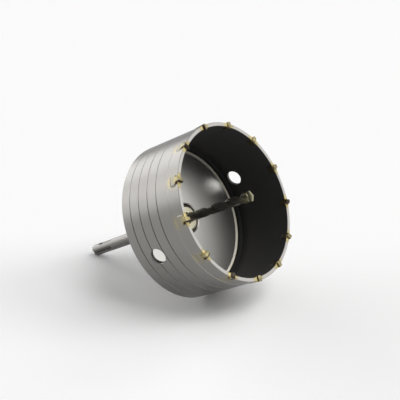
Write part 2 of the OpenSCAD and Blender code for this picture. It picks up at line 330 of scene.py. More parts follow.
def beside_tooth(tree, place, shape="SINE"):
    """Millimetres along the rim from the middle of the nearest tooth, positive on its leading
    side: (wall's middle radius / count) * sin(count * (angle - first tooth's angle)). With the
    cosine instead of the sine it is largest at the teeth and lowest between them."""
    axes = add(tree, "ShaderNodeSeparateXYZ", {0: place})
    turn = add(tree, "ShaderNodeMath", {0: axes.outputs["Y"], 1: axes.outputs["X"]}, operation="ARCTAN2")
    phase = add(tree, "ShaderNodeMath", {
        0: turn.outputs[0], 1: TOOTH_COUNT, 2: -math.radians(TOOTH_ANGLE) * TOOTH_COUNT},
        operation="MULTIPLY_ADD")
    wave = add(tree, "ShaderNodeMath", {0: phase.outputs[0]}, operation=shape)
    return add(tree, "ShaderNodeMath", {0: wave.outputs[0], 1: WALL_MID / TOOTH_COUNT},
               operation="MULTIPLY").outputs[0]


print(f"the sine reads up to {WALL_MID / TOOTH_COUNT:.2f} mm between the teeth")

# %% [markdown]
# ## The cup: turned and blasted steel, ground rim, black coat inside
# The tube is turned outside, blasted to a satin grey, ground flat on its rim and sprayed
# black inside. Its faces could get one material each, but paint and stains stop where the
# sprayer and the heat stopped, not at an edge of the mesh. So it is one material, in which
# masks made from the radius and the height choose between the surfaces.

# %% Where the cup's finishes lie
LINE_Z, ROOT_Z = 52.5, 12.0
LINE_LOW = (LINE_Z - 0.25, LINE_Z - 0.15)
LINE_HIGH = (LINE_Z + 0.25, LINE_Z + 0.15)
GROOVE_FLOOR = (CUP_R - 0.2, CUP_R - 0.4)
HOLE_WALL_SHADE = (CUP_R - 0.6, CUP_R - 0.75)
AT_TOOTH = (0.0, 1.0)
STAIN_RAGGED, STAIN_REACH, STAIN_SHARE = 4.0, (7.5, 3.0), 0.7
STAIN_DOWN = (CUP_H - 14.5, CUP_H - 7.5)
RIM = (CUP_H - 0.35, CUP_H - 0.05)
RIM_HEATED, RIM_HEATED_SHARE = (-1.0, 3.0), 0.45
PAINT_IN = (CUP_R - WALL_T + 0.55, CUP_R - WALL_T + 0.25)
PAINT_TOP, PAINT_FOOT = (CUP_H - 0.08, CUP_H - 0.3), (0.2, 0.6)
PAINTED_SHADE_AT_ROOT = (ROOT_Z + 12.0, ROOT_Z)
CLOUDS_PER_MM, PATCHES_PER_MM = 0.035, 0.45  # clouds of 29 mm in the grey, patches of 2 mm in a stain
BLASTED_PITCH, BLASTED_DEPTH = 0.9, 0.012  # coarser than the real grit and feed, which don't show
print(f"the inside is painted from z {PAINT_FOOT[1]} to {PAINT_TOP[1]} mm")


# %% Cup material
def cup_steel():
    """Blasted steel reads as a soft satin grey, paint as a flat black that swallows the light."""
    material, tree, output = new_material("blasted_steel_with_black_paint_inside")
    place, height, radius = tool_place(tree)

    # Blasting leaves slow clouds in the grey
    clouds = add(tree, "ShaderNodeTexNoise", {
        "Vector": place, "Scale": CLOUDS_PER_MM, "Detail": 3.0}).outputs[0]
    colour = layer(tree, "#82807d", "#8b8986", clouds)

    # The fine line near the rim was cut last and is bright; dust lies in the grooves, and painted shade
    # darkens the walls of the side holes
    colour = layer(tree, colour, "#b9b7b2", (height, *LINE_LOW), (height, *LINE_HIGH))
    groove = mask(tree, (radius, *GROOVE_FLOOR))
    colour = layer(tree, colour, "#7a7671", groove)
    colour = layer(tree, colour, "#34322e", (radius, *HOLE_WALL_SHADE))

    # Flux and heat left a straw coloured stain on the wall behind each tooth
    near = beside_tooth(tree, place, "COSINE")
    off = add(tree, "ShaderNodeMath", {0: beside_tooth(tree, place)}, operation="ABSOLUTE").outputs[0]
    uneven = add(tree, "ShaderNodeTexNoise", {
        "Vector": place, "Scale": PATCHES_PER_MM, "Detail": 3.0}).outputs[0]
    ragged = add(tree, "ShaderNodeMath", {0: uneven, 1: STAIN_RAGGED, 2: off}, operation="MULTIPLY_ADD")
    colour = layer(tree, colour, "#a3976b", (ragged.outputs[0], *STAIN_REACH), (near, *AT_TOOTH),
                   (height, *STAIN_DOWN), STAIN_SHARE)

    # The ground rim is brighter, and straw coloured where the brazing heat reached it
    rim = mask(tree, (height, *RIM))
    ground = layer(tree, "#b4b1ad", "#b3a372", (near, *RIM_HEATED), RIM_HEATED_SHARE)
    colour = layer(tree, colour, ground, rim)

    # Paint covers the inside up to the rim's inner edge; painted shade makes it blackest at the root by the
    # plate
    paint = mask(tree, (radius, *PAINT_IN), (height, *PAINT_TOP), (height, *PAINT_FOOT))
    colour = layer(tree, colour, layer(tree, "#343333", "#181818", (height, *PAINTED_SHADE_AT_ROOT)), paint)

    # Dust and paint hide the metal and flux hides half of the rim's; the spray is the roughest
    metallic = layer(tree, 1.0, 0.0, (groove, 0.0, 1.0))
    metallic = layer(tree, layer(tree, metallic, 0.5, rim), 0.0, paint)
    return finished(material, tree, output, {
        "Base Color": colour, "Metallic": metallic, "Roughness": layer(tree, 0.35, 0.65, paint),
        "Specular IOR Level": 0.3, "Normal": turned_bump(tree, place, BLASTED_PITCH, BLASTED_DEPTH)})


cup_finish = cup_steel()

# %% [markdown]
# ## The plate
# The plate is faced on a lathe: the tool leaves a spiral so fine that the eye sees a satin
# sheen. As a shape it would need millions of faces, so rings of noise that read only the
# radius give the sheen its direction. The ring at its edge and the lip of the centre hole
# were cut last. The ring is bright, with a painted highlight on its lower part and painted
# shade on its upper part; the lip and one crest of the thread carry a painted highlight, and
# the countersink between them painted shade. Round the ring the spray from the wall has
# caught the plate's edge.

# %% Where the plate's finishes lie
PLATE_T, THREAD_R, RING_INNER_R = 9.2, 11.05, 57.75
LIP_R = THREAD_R + 1.9
LIP_HIGHLIGHT = (LIP_R + 0.05, LIP_R - 0.05)
COUNTERSINK_SHADE = (LIP_R - 0.65, LIP_R - 0.8)
THREAD_CREST_HIGHLIGHT = (THREAD_R + 0.4, THREAD_R + 0.25)
FRONT_FACE = (PLATE_T - 3.0, PLATE_T - 2.0)
RING = (RING_INNER_R + 0.3, RING_INNER_R + 0.6)
RING_HIGHLIGHT_SIDE, RING_HIGHLIGHT_REACH = math.radians(-70), (-30.0, 35.0)
SPRAYED_EDGE = (RING_INNER_R + 1.75, RING_INNER_R + 2.0)
RINGS_PER_MM, FACED_DEPTH = 1.1, 0.01  # coarser than the real spiral, which is too fine to show
PLATE_CLOUDS_PER_MM = 0.05  # clouds of 20 mm
print(f"the bright ring runs from radius {RING[0]:.2f} to {SPRAYED_EDGE[1]:.2f} mm")


# %% Plate material
def plate_steel():
    """Faced steel has a sheen across its rings, so that a lamp shows as a soft spot on it."""
    material, tree, output = new_material("faced_steel_plate")
    place, height, radius = tool_place(tree)
    rings = add(tree, "ShaderNodeTexNoise", {"W": radius, "Scale": RINGS_PER_MM, "Detail": 4.0},
                noise_dimensions="1D").outputs[0]
    bump = add(tree, "ShaderNodeBump", {"Height": rings, "Distance": FACED_DEPTH * MM, "Strength": 1.0})
    clouds = add(tree, "ShaderNodeTexNoise", {
        "Vector": place, "Scale": PLATE_CLOUDS_PER_MM, "Detail": 4.0}).outputs[0]
    colour = layer(tree, "#c2c0bb", "#cecdc8", clouds)

    # Painted shade darkens the countersink; its lip and one crest of the thread get a painted highlight
    colour = layer(tree, colour, "#f4ece6", (radius, *LIP_HIGHLIGHT))
    colour = layer(tree, colour, "#4b4842", (radius, *COUNTERSINK_SHADE))
    colour = layer(tree, colour, "#b5b0a2", (radius, *THREAD_CREST_HIGHLIGHT))

    # The bright ring with its painted highlight and painted shade, the sprayed edge outside it, and the
    # duller back
    front = mask(tree, (height, *FRONT_FACE))
    ring = mask(tree, (radius, *RING), front)
    # Painted highlight on the ring's lower part, painted shade on its upper part
    ring_highlight = layer(tree, "#b9b4a3", "#fbf4de", (toward(tree, place, RING_HIGHLIGHT_SIDE), *RING_HIGHLIGHT_REACH))
    colour = layer(tree, colour, ring_highlight, ring)
    colour = layer(tree, colour, "#181818", (radius, *SPRAYED_EDGE))
    colour = layer(tree, layer(tree, "#8b8986", "#96948f", clouds), colour, front)

    # A film of dried oil makes the ring bright from every side, which bare metal is not
    return finished(material, tree, output, {
        "Base Color": colour, "Metallic": layer(tree, 1.0, 0.15, (ring, 0.0, 1.0)),
        "Roughness": layer(tree, 0.4, 0.3, (ring, 0.0, 1.0)), "Normal": bump.outputs[0]})


plate_finish = plate_steel()

# %% [markdown]
# ## The arbor, the set screw and the drill
# The arbor is turned and its shank is ground, so it is a little smoother than the cup. Grease
# and dust stay in the shank's grooves, and the nose that shows inside the cup has a yellow
# cast. Set screw and drill are steel with a black oxide: a thin dark layer that still shines
# like metal, which paint would not. One grey for all steel would be simpler, but the eye
# tells ground, turned and blackened steel apart, so each has its own material.

# %% Where the arbor's and the drill's finishes lie
SHANK_R, SHANK_END_Z = 5.0, -109.0
NOSE, NOSE_EDGE_SHADE = (6.0, 7.0), (9.4, 9.7)
SHANK_GROOVE = (SHANK_R - 0.25, SHANK_R - 0.5)
ON_SHANK = (-58.0, -60.0)
OFF_END_FACE = (SHANK_END_Z + 0.3, SHANK_END_Z + 1.1)
FLUX_AND_HIGHLIGHT_ON_DRILL = (66.0, 75.0)
NOSE_PATCHES_PER_MM, OXIDE_PATCHES_PER_MM = 0.25, 0.15  # patches of 4 and of 7 mm
OXIDE_PATCH_RANGE, OXIDE_UNEVEN = (0.3, 0.7), 0.04
TURNED_PITCH, TURNED_DEPTH = 0.4, 0.006  # coarser than the real grinding, which doesn't show
print(f"grease lies in the shank's grooves from z {OFF_END_FACE[1]} to {ON_SHANK[1]} mm")


# %% Arbor, screw and drill materials
def arbor_steel():
    """Ground steel shows narrow highlights along the shank, and darker lines where grease stays."""
    material, tree, output = new_material("ground_steel_arbor")
    place, height, radius = tool_place(tree)
    grain = add(tree, "ShaderNodeTexNoise", {
        "Vector": place, "Scale": NOSE_PATCHES_PER_MM, "Detail": 3.0}).outputs[0]
    nose = layer(tree, "#e6e1cb", "#d0caa6", grain)
    # Painted shade darkens the edge of the nose
    nose = layer(tree, nose, "#4b4842", (radius, *NOSE_EDGE_SHADE))
    steel = layer(tree, "#7f7d7a", "#66645f", (radius, *SHANK_GROOVE), (height, *ON_SHANK),
                  (height, *OFF_END_FACE))
    return finished(material, tree, output, {
        "Base Color": layer(tree, steel, nose, (height, *NOSE)), "Metallic": 1.0, "Roughness": 0.34,
        "Normal": turned_bump(tree, place, TURNED_PITCH, TURNED_DEPTH)})


def blackened(name, colour, roughness):
    """Black oxide is dark and a little uneven, so its shine breaks up into patches. Towards the
    drill's point it is lighter: partly a smear of flux, partly a painted highlight."""
    material, tree, output = new_material(name)
    place, height, radius = tool_place(tree)
    patches = add(tree, "ShaderNodeTexNoise", {
        "Vector": place, "Scale": OXIDE_PATCHES_PER_MM, "Detail": 3.0})
    rough = add(tree, "ShaderNodeMapRange", {
        "Value": patches.outputs[0],
        "From Min": OXIDE_PATCH_RANGE[0], "From Max": OXIDE_PATCH_RANGE[1],
        "To Min": roughness - OXIDE_UNEVEN, "To Max": roughness + OXIDE_UNEVEN})
    # Lighter towards the point: a smear of flux and a painted highlight
    return finished(material, tree, output, {
        "Base Color": layer(tree, colour, "#7d7960", (height, *FLUX_AND_HIGHLIGHT_ON_DRILL)), "Metallic": 0.6,
        "Roughness": rough.outputs[0]})


arbor_finish = arbor_steel()
screw_finish = blackened("black_oxide_screw", "#26262a", 0.45)
drill_finish = blackened("black_oxide_drill", "#5a5752", 0.3)

# %% [markdown]
# ## Carbide and braze
# A tooth is held by brass that was melted round it with a flame. The flux ran to the leading
# side, so that side is burnt brown near the rim, and painted shade darkens it further. The
# ground tops are cream on some teeth and nearly black on others, and inside the cup everything
# is black with soot. Where the flame stood, both sides of a tooth are burnt, and towards +x
# the burnt and shaded marks are faint. Down the wall the colours fade back to grey. Outside
# the wall the metal is bare, and flux or soot hides it elsewhere. Each tooth could have a
# painted texture of its own; one rule with measures from the tooth's middle keeps all of
# them alike and lets noise and a slow change round the rim tell them apart.

# %% What carbide and braze share
FLAME_SIDE, FLAME_REACH = math.radians(285), (-15.0, 30.0)
# Under the rim the leading side is scorched and in painted shade down to the first depth, clean by the
# second and grey again by the third
TAIL_SCORCHED_AND_SHADED, TAIL_CLEAN, TAIL_FADED = 1.4, 4.0, 6.0  # mm under the rim: burnt, clean and grey again
NEAR_TOP = (CUP_H - TAIL_CLEAN, CUP_H - TAIL_SCORCHED_AND_SHADED)
OUT_OF_WALL, UNDER_RIM = (CUP_R - 0.3, CUP_R + 0.1), (CUP_H - 0.2, CUP_H - 1.0)
SOOT_METALLIC = 0.1


def flame_side(tree, place):
    """1 on the side of the cup where the flame burnt both sides of a tooth, 0 opposite."""
    return mask(tree, (toward(tree, place, FLAME_SIDE), *FLAME_REACH))


def bare_outside(tree, height, radius, sooty, flux_metallic):
    """Metallic: full on the wall's outside, lower under the flux on the rim, least in the soot."""
    outside = mask(tree, (radius, *OUT_OF_WALL), (height, *UNDER_RIM))
    return layer(tree, layer(tree, flux_metallic, 1.0, (outside, 0.0, 1.0)), SOOT_METALLIC, sooty)


print(f"the flame stood at {math.degrees(FLAME_SIDE):.0f} degrees; teeth are grey again "
      f"{TAIL_FADED} mm under the rim")

# %% Where the carbide's finishes lie
GROUND_TOP = (CUP_H - 0.3, CUP_H + 0.6)
ACROSS_TOOTH = (-1.2, 1.4)
LEADING = (0.45, 0.75)
TRAILING = (0.25 - TIP_W / 2, 0.1 - TIP_W / 2)
WEAKER_SIDE, WEAKER_REACH, WEAKER_SHARE = math.radians(20), (25.0, 45.0), 0.25
CARBIDE_SOOT_IN = (CUP_R - WALL_T + 0.2, CUP_R - WALL_T - 0.3)
CARBIDE_SOOT_TOP = (CUP_H + 0.3, CUP_H - 0.6)
DRILL_ZONE, BLADE_GROUND = (30.0, 20.0), (77.5, 79.5)
GRAINS_PER_MM, CARBIDE_DEPTH = 2.2, 0.05  # grains of 0.5 mm; the real ones of microns don't show
print(f"a tooth's leading side is burnt where it is over {LEADING[1]} mm from its middle")


# %% Carbide material
def carbide():
    """Sintered carbide is a matt grey that flux stains cream and scorched flux brown, and painted
    shade darkens the leading side. A ground top looks pale on some teeth and nearly black on
    others. The drill's blade is greyer."""
    material, tree, output = new_material("sintered_carbide_with_flux_and_painted_shade")
    place, height, radius = tool_place(tree)
    along, flame = beside_tooth(tree, place), flame_side(tree, place)
    grain = add(tree, "ShaderNodeTexNoise", {
        "Vector": place, "Scale": GRAINS_PER_MM, "Detail": 5.0}).outputs[0]

    # Tops cream to nearly black after a slow wave round the rim; sides darker on the leading half, as
    # painted shade and, where the flame stood, scorched; grey again at the tail
    top_darkness = add(tree, "ShaderNodeAttribute", attribute_name="top_darkness").outputs["Fac"]
    cream, dark = layer(tree, "#9a8c5a", "#c7bb8c", grain), layer(tree, "#1f1809", "#3d351c", grain)
    top = layer(tree, cream, dark, top_darkness)
    near_top = mask(tree, (height, *NEAR_TOP))
    shaded_and_scorched = layer(tree, "#968d6c", "#46371c", flame)
    side = layer(tree, "#928b76", layer(tree, "#a0987a", shaded_and_scorched, (along, *ACROSS_TOOTH)), near_top)
    colour = layer(tree, side, top, (height, *GROUND_TOP))

    # Scorched flux and painted shade on the leading side, scorched flux on both sides where the flame
    # stood; towards +x both fade to a faint share
    leading, trailing = mask(tree, (along, *LEADING), near_top), mask(tree, (along, *TRAILING), flame)
    scorched_and_shaded = add(tree, "ShaderNodeMath", {0: leading, 1: trailing}, operation="MAXIMUM").outputs[0]
    scorched_and_shaded = layer(tree, scorched_and_shaded, WEAKER_SHARE, (toward(tree, place, WEAKER_SIDE), *WEAKER_REACH))
    colour = layer(tree, colour, "#2a1c0b", scorched_and_shaded)

    # Soot inside the cup; the blade on the drill has its own grey
    sooty = mask(tree, (radius, *CARBIDE_SOOT_IN), (height, *CARBIDE_SOOT_TOP))
    colour = layer(tree, colour, "#332b18", sooty)
    blade = layer(tree, "#66634d", "#a5a384", (height, *BLADE_GROUND))
    colour = layer(tree, colour, blade, (radius, *DRILL_ZONE))
    bump = add(tree, "ShaderNodeBump", {"Height": grain, "Distance": CARBIDE_DEPTH * MM, "Strength": 0.7})
    return finished(material, tree, output, {
        "Base Color": colour, "Metallic": bare_outside(tree, height, radius, sooty, 0.4),
        "Roughness": 0.4, "Normal": bump.outputs[0]})


carbide_finish = carbide()

# %% Where the braze's finishes lie
ON_RIM = (CUP_H - 0.9, CUP_H - 0.1)
FADES_DOWN = (CUP_H - TAIL_FADED, CUP_H - TAIL_SCORCHED_AND_SHADED)
BY_THE_TOOTH = (TIP_W / 2 + 1.5, TIP_W / 2 + 0.6)
LEADING_BRAZE = (1.0, 1.4)
OFF_THE_RIM, RIM_SCORCHED_AND_SHADED = (0.9, 0.2), 0.2
CLIMBS = (CUP_H + 0.3, CUP_H + 0.55)
BRAZE_SOOT_IN = (CUP_R - WALL_T + 0.3, CUP_R - WALL_T - 0.05)
BRAZE_SOOT_TOP = (CUP_H, CUP_H - 0.6)
LUMPS_PER_MM, BRAZE_DEPTH = 1.1, 0.08  # lumps of 0.9 mm in the flux
print(f"braze is burnt up to {BY_THE_TOOTH[0]:.1f} mm from the middle of its tooth")


# %% Braze material
def braze_brass():
    """Brass under glassy flux looks cream and lumpy on the rim, olive where it thins out over the
    steel, brown with scorched flux and painted shade against the leading side of the tooth, and
    matt black inside the cup."""
    material, tree, output = new_material("brass_braze_with_burnt_flux_and_painted_shade")
    place, height, radius = tool_place(tree)
    along, flame = beside_tooth(tree, place), flame_side(tree, place)
    grain = add(tree, "ShaderNodeTexNoise", {
        "Vector": place, "Scale": LUMPS_PER_MM, "Detail": 4.0}).outputs[0]

    # Cream on the rim, olive down the wall, the steel's grey where the sheet ends
    on_rim = mask(tree, (height, *ON_RIM))
    thin = add(tree, "ShaderNodeAttribute", attribute_name="thin").outputs["Fac"]
    olive, scorched = layer(tree, "#a69d78", "#918863", grain), layer(tree, "#a08f55", "#7b6a35", grain)
    olive = layer(tree, "#8e8a7c", layer(tree, olive, scorched, flame), (height, *FADES_DOWN))
    colour = layer(tree, olive, layer(tree, "#cdbf8b", "#ab9a5c", grain), on_rim)
    colour = layer(tree, colour, "#8a8880", thin)

    # Scorched flux and painted shade make it brown against the tooth, less on top of the rim than where the
    # braze climbs
    off = add(tree, "ShaderNodeMath", {0: along}, operation="ABSOLUTE").outputs[0]
    side = add(tree, "ShaderNodeMath", {
        0: mask(tree, (along, *LEADING_BRAZE)), 1: flame}, operation="MAXIMUM").outputs[0]
    climbing = add(tree, "ShaderNodeMath", {
        0: layer(tree, RIM_SCORCHED_AND_SHADED, 1.0, (on_rim, *OFF_THE_RIM)),
        1: mask(tree, (height, *CLIMBS))}, operation="MAXIMUM").outputs[0]
    colour = layer(tree, colour, "#32220d", (off, *BY_THE_TOOTH), side, climbing, (height, *NEAR_TOP))

    sooty = mask(tree, (radius, *BRAZE_SOOT_IN), (height, *BRAZE_SOOT_TOP))
    colour = layer(tree, colour, "#2b261a", sooty)
    bump = add(tree, "ShaderNodeBump", {"Height": grain, "Distance": BRAZE_DEPTH * MM, "Strength": 0.6})
    return finished(material, tree, output, {
        "Base Color": colour, "Metallic": bare_outside(tree, height, radius, sooty, 0.5),
        "Roughness": 0.4, "Normal": bump.outputs[0]})


braze_finish = braze_brass()

# %% [markdown]
# ## Putting the finishes on
# The construction brings a named slot for every piece, as a drawing has a finish written
# beside each part. The finishes could be chosen piece by piece in the editor. A table from
# slot to finish does all pieces at once and leaves their shapes alone.

# %% Give every construction piece its finish
finishes = {
    "cup_steel": cup_finish,
    "plate_steel": plate_finish,
    "arbor_steel": arbor_finish,
    "black_screw": screw_finish,
    "black_drill": drill_finish,
    "carbide": carbide_finish,
    "braze": braze_finish,
}
slots = {entry["node"]: entry["material_slot"] for entry in frame["record"]["subparts"]}
for name, thing in nodes.items():
    for material_slot in thing.material_slots:
        material_slot.material = finishes[slots[name]]
print(f"{len(finishes)} finishes on {len(nodes)} pieces")

# %% [markdown]
# ## Surfaces from two parameters
# The carbide, the braze and the drill's flutes are softer than the construction shows them.
# Each is worked out as a grid: rows and columns of points from one formula, which numpy
# computes all at once. A helper turns such a grid into a mesh, closed where its columns
# or rows meet, and capped at its ends.

# %% Grid helpers
MERGE_MM = 0.002


def grid_quads(rows, columns, closed):
    """The corner numbers of a grid's quads; closed joins the last column to the first."""
    row, column = np.meshgrid(np.arange(rows - 1), np.arange(columns - (not closed)), indexing="ij")
    right = (column + 1) % columns
    quads = np.stack([row * columns + column, row * columns + right,
                      (row + 1) * columns + right, (row + 1) * columns + column], -1)
    return quads.reshape(-1, 4)


def new_piece(name, points, faces, slot, replaced, attributes=None):
    """A mesh piece from tool millimetres that rides on the tool and replaces a node."""
    mesh = bpy.data.meshes.new(name)
    mesh.from_pydata(to_scene(points), [], faces)
    for key, values in (attributes or {}).items():
        mesh.attributes.new(key, "FLOAT", "POINT").data.foreach_set("value", values.astype(np.float32))
    cleaner = bmesh.new()
    cleaner.from_mesh(mesh)
    bmesh.ops.remove_doubles(cleaner, verts=cleaner.verts, dist=MERGE_MM * MM)
    bmesh.ops.recalc_face_normals(cleaner, faces=cleaner.faces)
    cleaner.to_mesh(mesh)
    cleaner.free()
    mesh.polygons.foreach_set("use_smooth", np.ones(len(mesh.polygons), bool))
    mesh.materials.append(finishes[slot])
    piece = bpy.data.objects.new(name, mesh)
    bpy.context.scene.collection.objects.link(piece)
    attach(piece, "root")
    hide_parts(replaced)


print(f"a tube of 3 rows and 4 columns has {len(grid_quads(3, 4, True))} quads")

# %% [markdown]
# ## Carbide bars with soft edges
# A tooth is pressed and sintered, so its edges are rounded and only its top is ground. It
# is a convex outline carried through the wall. A Bevel modifier could round it; here the
# outline is first made smaller by the radius, and then grown again by a ball of that radius,
# because that keeps the grid even: a point is a corner of the small outline plus the radius
# times a direction.


# %% Rounded bar
def rounded_bar(corners, depth, radius, arc_steps=4, end_steps=4):
    """Grid of points [across, up, through] on a bar with a convex outline and round edges.
    Formula: small corner + radius * cos(tilt) * (cos, sin)(turn), through = half + radius * sin(tilt)."""
    corners = np.asarray(corners, float)
    side = np.roll(corners, -1, 0) - corners
    normal = np.stack([side[:, 1], -side[:, 0]], -1) / np.linalg.norm(side, axis=1, keepdims=True)
    before = np.roll(normal, 1, 0)
    small = corners - radius * (before + normal) / (1 + np.sum(before * normal, 1, keepdims=True))
    start = np.arctan2(before[:, 1], before[:, 0])
    sweep = (np.arctan2(normal[:, 1], normal[:, 0]) - start) % (2 * math.pi)
    turn = (start[:, None] + sweep[:, None] * np.linspace(0, 1, arc_steps)).reshape(-1)
    centre = np.repeat(small, arc_steps, 0)
    tilt = np.radians(np.linspace(-90, 90, 2 * end_steps))
    half = np.where(tilt < 0, -1, 1) * (depth / 2 - radius)
    ring = np.stack([np.cos(turn), np.sin(turn)], -1)
    flat = centre[None] + radius * np.cos(tilt)[:, None, None] * ring[None]
    through = np.broadcast_to((half + radius * np.sin(tilt))[:, None], flat.shape[:2])
    return np.dstack([flat, through])


def bar_faces(rows, columns):
    """Quads round the bar and one flat face on each end."""
    ends = [list(range(columns)), list(range((rows - 1) * columns, rows * columns))]
    return grid_quads(rows, columns, True).tolist() + ends


print(f"a bar with a square outline has {rounded_bar([(0, 0), (1, 0), (1, 1), (0, 1)], 1, 0.1).shape[1]}"
      " points round it")

# %% [markdown]
# ## The teeth
# Each of the thirteen teeth is a block of carbide that sits in a slot of the rim and stands
# proud of the wall on both sides, with a ridge across its top that cuts. Its outer face is
# ground down towards the tail. One object with thirteen instances would do, but every tooth
# stands for a piece of the construction, so the same grid is turned about the axis into
# thirteen meshes. How dark a top is painted follows a slow wave round the rim, and goes to
# the material as an attribute.

# %% Teeth
TIP_LEN, TIP_RISE, TIP_PROUD = 7.5, 2.0, 0.9
TIP_RIDGE, TIP_RAKE, TIP_RELIEF = 1.2, 0.5, 0.8
TIP_ROUND, TAIL_DROP = 0.25, 0.6
# The tops are painted darkest on this tooth and palest this many teeth away, in a wave round the rim
DARKEST_TOP_TOOTH, TEETH_TO_PALEST_TOP = 1, 2


def tooth_turn(number):
    """The angle of a tooth about the axis: the first one's angle + number * 360 / count."""
    return math.radians(TOOTH_ANGLE + number * 360 / TOOTH_COUNT)


def on_the_wall(points, turn):
    """Places [along the rim, along the axis, through the wall] at the wall's middle, turned to a
    tooth: (wall's middle + through) outwards + along to the side."""
    along, up, through = points[..., 0], points[..., 1], points[..., 2]
    radial = WALL_MID + through
    return np.stack([radial * math.cos(turn) - along * math.sin(turn),
                     radial * math.sin(turn) + along * math.cos(turn), up], -1)


tip_top = CUP_H + TIP_RISE
tip_corners = [
    (-TIP_W / 2, tip_top - TIP_LEN), (TIP_W / 2, tip_top - TIP_LEN), (TIP_W / 2, tip_top - TIP_RAKE),
    (TIP_W / 2 - TIP_RIDGE, tip_top), (-TIP_W / 2, tip_top - TIP_RELIEF),
]
bar = rounded_bar(tip_corners, WALL_T + 2 * TIP_PROUD, TIP_ROUND)
down = (tip_top - bar[..., 1]) / TIP_LEN
bar[..., 2] -= TAIL_DROP * down * (bar[..., 2] > 0)
tooth_points = bar.shape[0] * bar.shape[1]
for number in range(TOOTH_COUNT):
    wave = math.cos(math.pi / TEETH_TO_PALEST_TOP * (number - DARKEST_TOP_TOOTH))
    new_piece(f"tooth_{number + 1:02d}", on_the_wall(bar, tooth_turn(number)).reshape(-1, 3),
              bar_faces(*bar.shape[:2]), "carbide", f"carbide_tip_{number + 1:02d}",
              {"top_darkness": np.full(tooth_points, (0.5 + 0.5 * wave) ** 2)})
print(f"{TOOTH_COUNT} teeth of {tooth_points} points")

# %% [markdown]
# ## Braze that has run out
# Molten brass wets the steel, climbs the tooth in a hollow fillet and runs along the rim and
# down the wall. It could be sculpted or simulated; here it is a thin sheet that follows the
# wall's own section, over the rim and down both sides, and stands off the steel by a
# thickness. Where the thickness is below zero the sheet dips under the steel, so the
# edge of the braze is wherever the formula crosses zero, and it comes out as uneven as a
# real one.

# %% Path over the wall
OUTER_DROP, INNER_DROP = 10.0, 6.5
CORNER_R = 0.35


def wall_path(count):
    """Points [radius, z] and normals up the outer wall, round a quarter turn, across the rim, round
    a quarter turn and down inside: a line that lies CORNER_R inside the wall + CORNER_R * normal."""
    quarter = CORNER_R * math.pi / 2
    top = WALL_T - 2 * CORNER_R
    lengths = [OUTER_DROP - CORNER_R, quarter, top, quarter, INNER_DROP - CORNER_R]
    stops = np.concatenate([[0], np.cumsum(lengths)])
    run = np.linspace(0, stops[-1], count)
    tilt = np.interp(run, stops, np.radians([0, 0, 90, 90, 180, 180]))
    outer, inner = CUP_R - CORNER_R, CUP_R - WALL_T + CORNER_R
    radius = np.interp(run, stops[1:5], [outer, outer, inner, inner])
    z = np.interp(run, [0, stops[1], stops[4], stops[5]],
                  [CUP_H - OUTER_DROP, CUP_H - CORNER_R, CUP_H - CORNER_R, CUP_H - INNER_DROP])
    normal = np.stack([np.cos(tilt), np.sin(tilt)], -1)
    return np.stack([radius, z], -1) + CORNER_R * normal, normal


SHEET_COLUMNS, SHEET_ROWS = 64, 56
path_points, path_normals = wall_path(SHEET_ROWS)
print(f"the path runs from z {path_points[0, 1]:.1f} outside to z {path_points[-1, 1]:.1f} inside")

# %% How far the braze runs
RUN_BACK, RUN_FRONT, RUN_SPARE = 3.9, 3.3, 0.5
SIDE_RUN_OUT, SIDE_RUN_BACK, SIDE_RUN_IN = 1.1, 1.2, 1.3
CORNER_RUN, CORNER_FADE = 1.3, 0.9
RUN_UNEVEN, FACES_UP, TRAILING_SIDE = (0.85, 1.05), (0.3, 0.9), (0.5, -0.5)


def smoothstep(start, end, value):
    """3 s squared - 2 s cubed, where s goes from 0 at the start to 1 at the end."""
    share = np.clip((value - start) / (end - start), 0, 1)
    return share * share * (3 - 2 * share)


along = np.linspace(-TIP_W / 2 - RUN_BACK - RUN_SPARE, TIP_W / 2 + RUN_FRONT + RUN_SPARE, SHEET_COLUMNS)
on_top = smoothstep(*FACES_UP, path_normals[:, 1])[:, None]
is_outside = (path_normals[:, 0] > 0)[:, None]
trailing = smoothstep(*TRAILING_SIDE, along)[None]
z_row = path_points[:, 1][:, None]
print(f"the sheets are {along[-1] - along[0]:.1f} mm long")

# %% How thick the braze is
# In millimetres: the film's height, the fillet's climb on the tooth and how soon it falls off
FILM_TOP, FILM_SIDE, FILM_BACK, FILM_LEAST = 0.24, 0.1, 0.06, -0.1
CLIMB_TOP, CLIMB_SIDE, CLIMB_BACK, CLIMB_TAIL = 0.5, 0.35, 0.35, 0.8
FALL_OFF, FALL_OFF_BACK, FALL_OFF_TAIL = 0.35, 0.35, 1.6
FILLET_END, TAIL_ZONE = (3.8, 1.8), (0.6, 4.0)
ABOVE_TOP, ABOVE_TAIL, UNDER_TIP = 0.9, 0.15, 0.05  # below the tooth's faces, but over its tail
THIN_FROM_SIDE, THIN_FROM_TOP = 0.3, 0.85
WAVE_COUNT, WAVE_SIZE, WAVE_REACH = 4, 0.02, 0.25
WAVE_ALONG, WAVE_DOWN, WAVE_START = (0.7, 2.2), (0.5, 1.6), (0, 6.3)
DIP, SHEET_DEPTH = 0.12, 0.6  # how deep the sheet dips into the steel, and where its back lies
SEED = 7
random = np.random.default_rng(SEED)


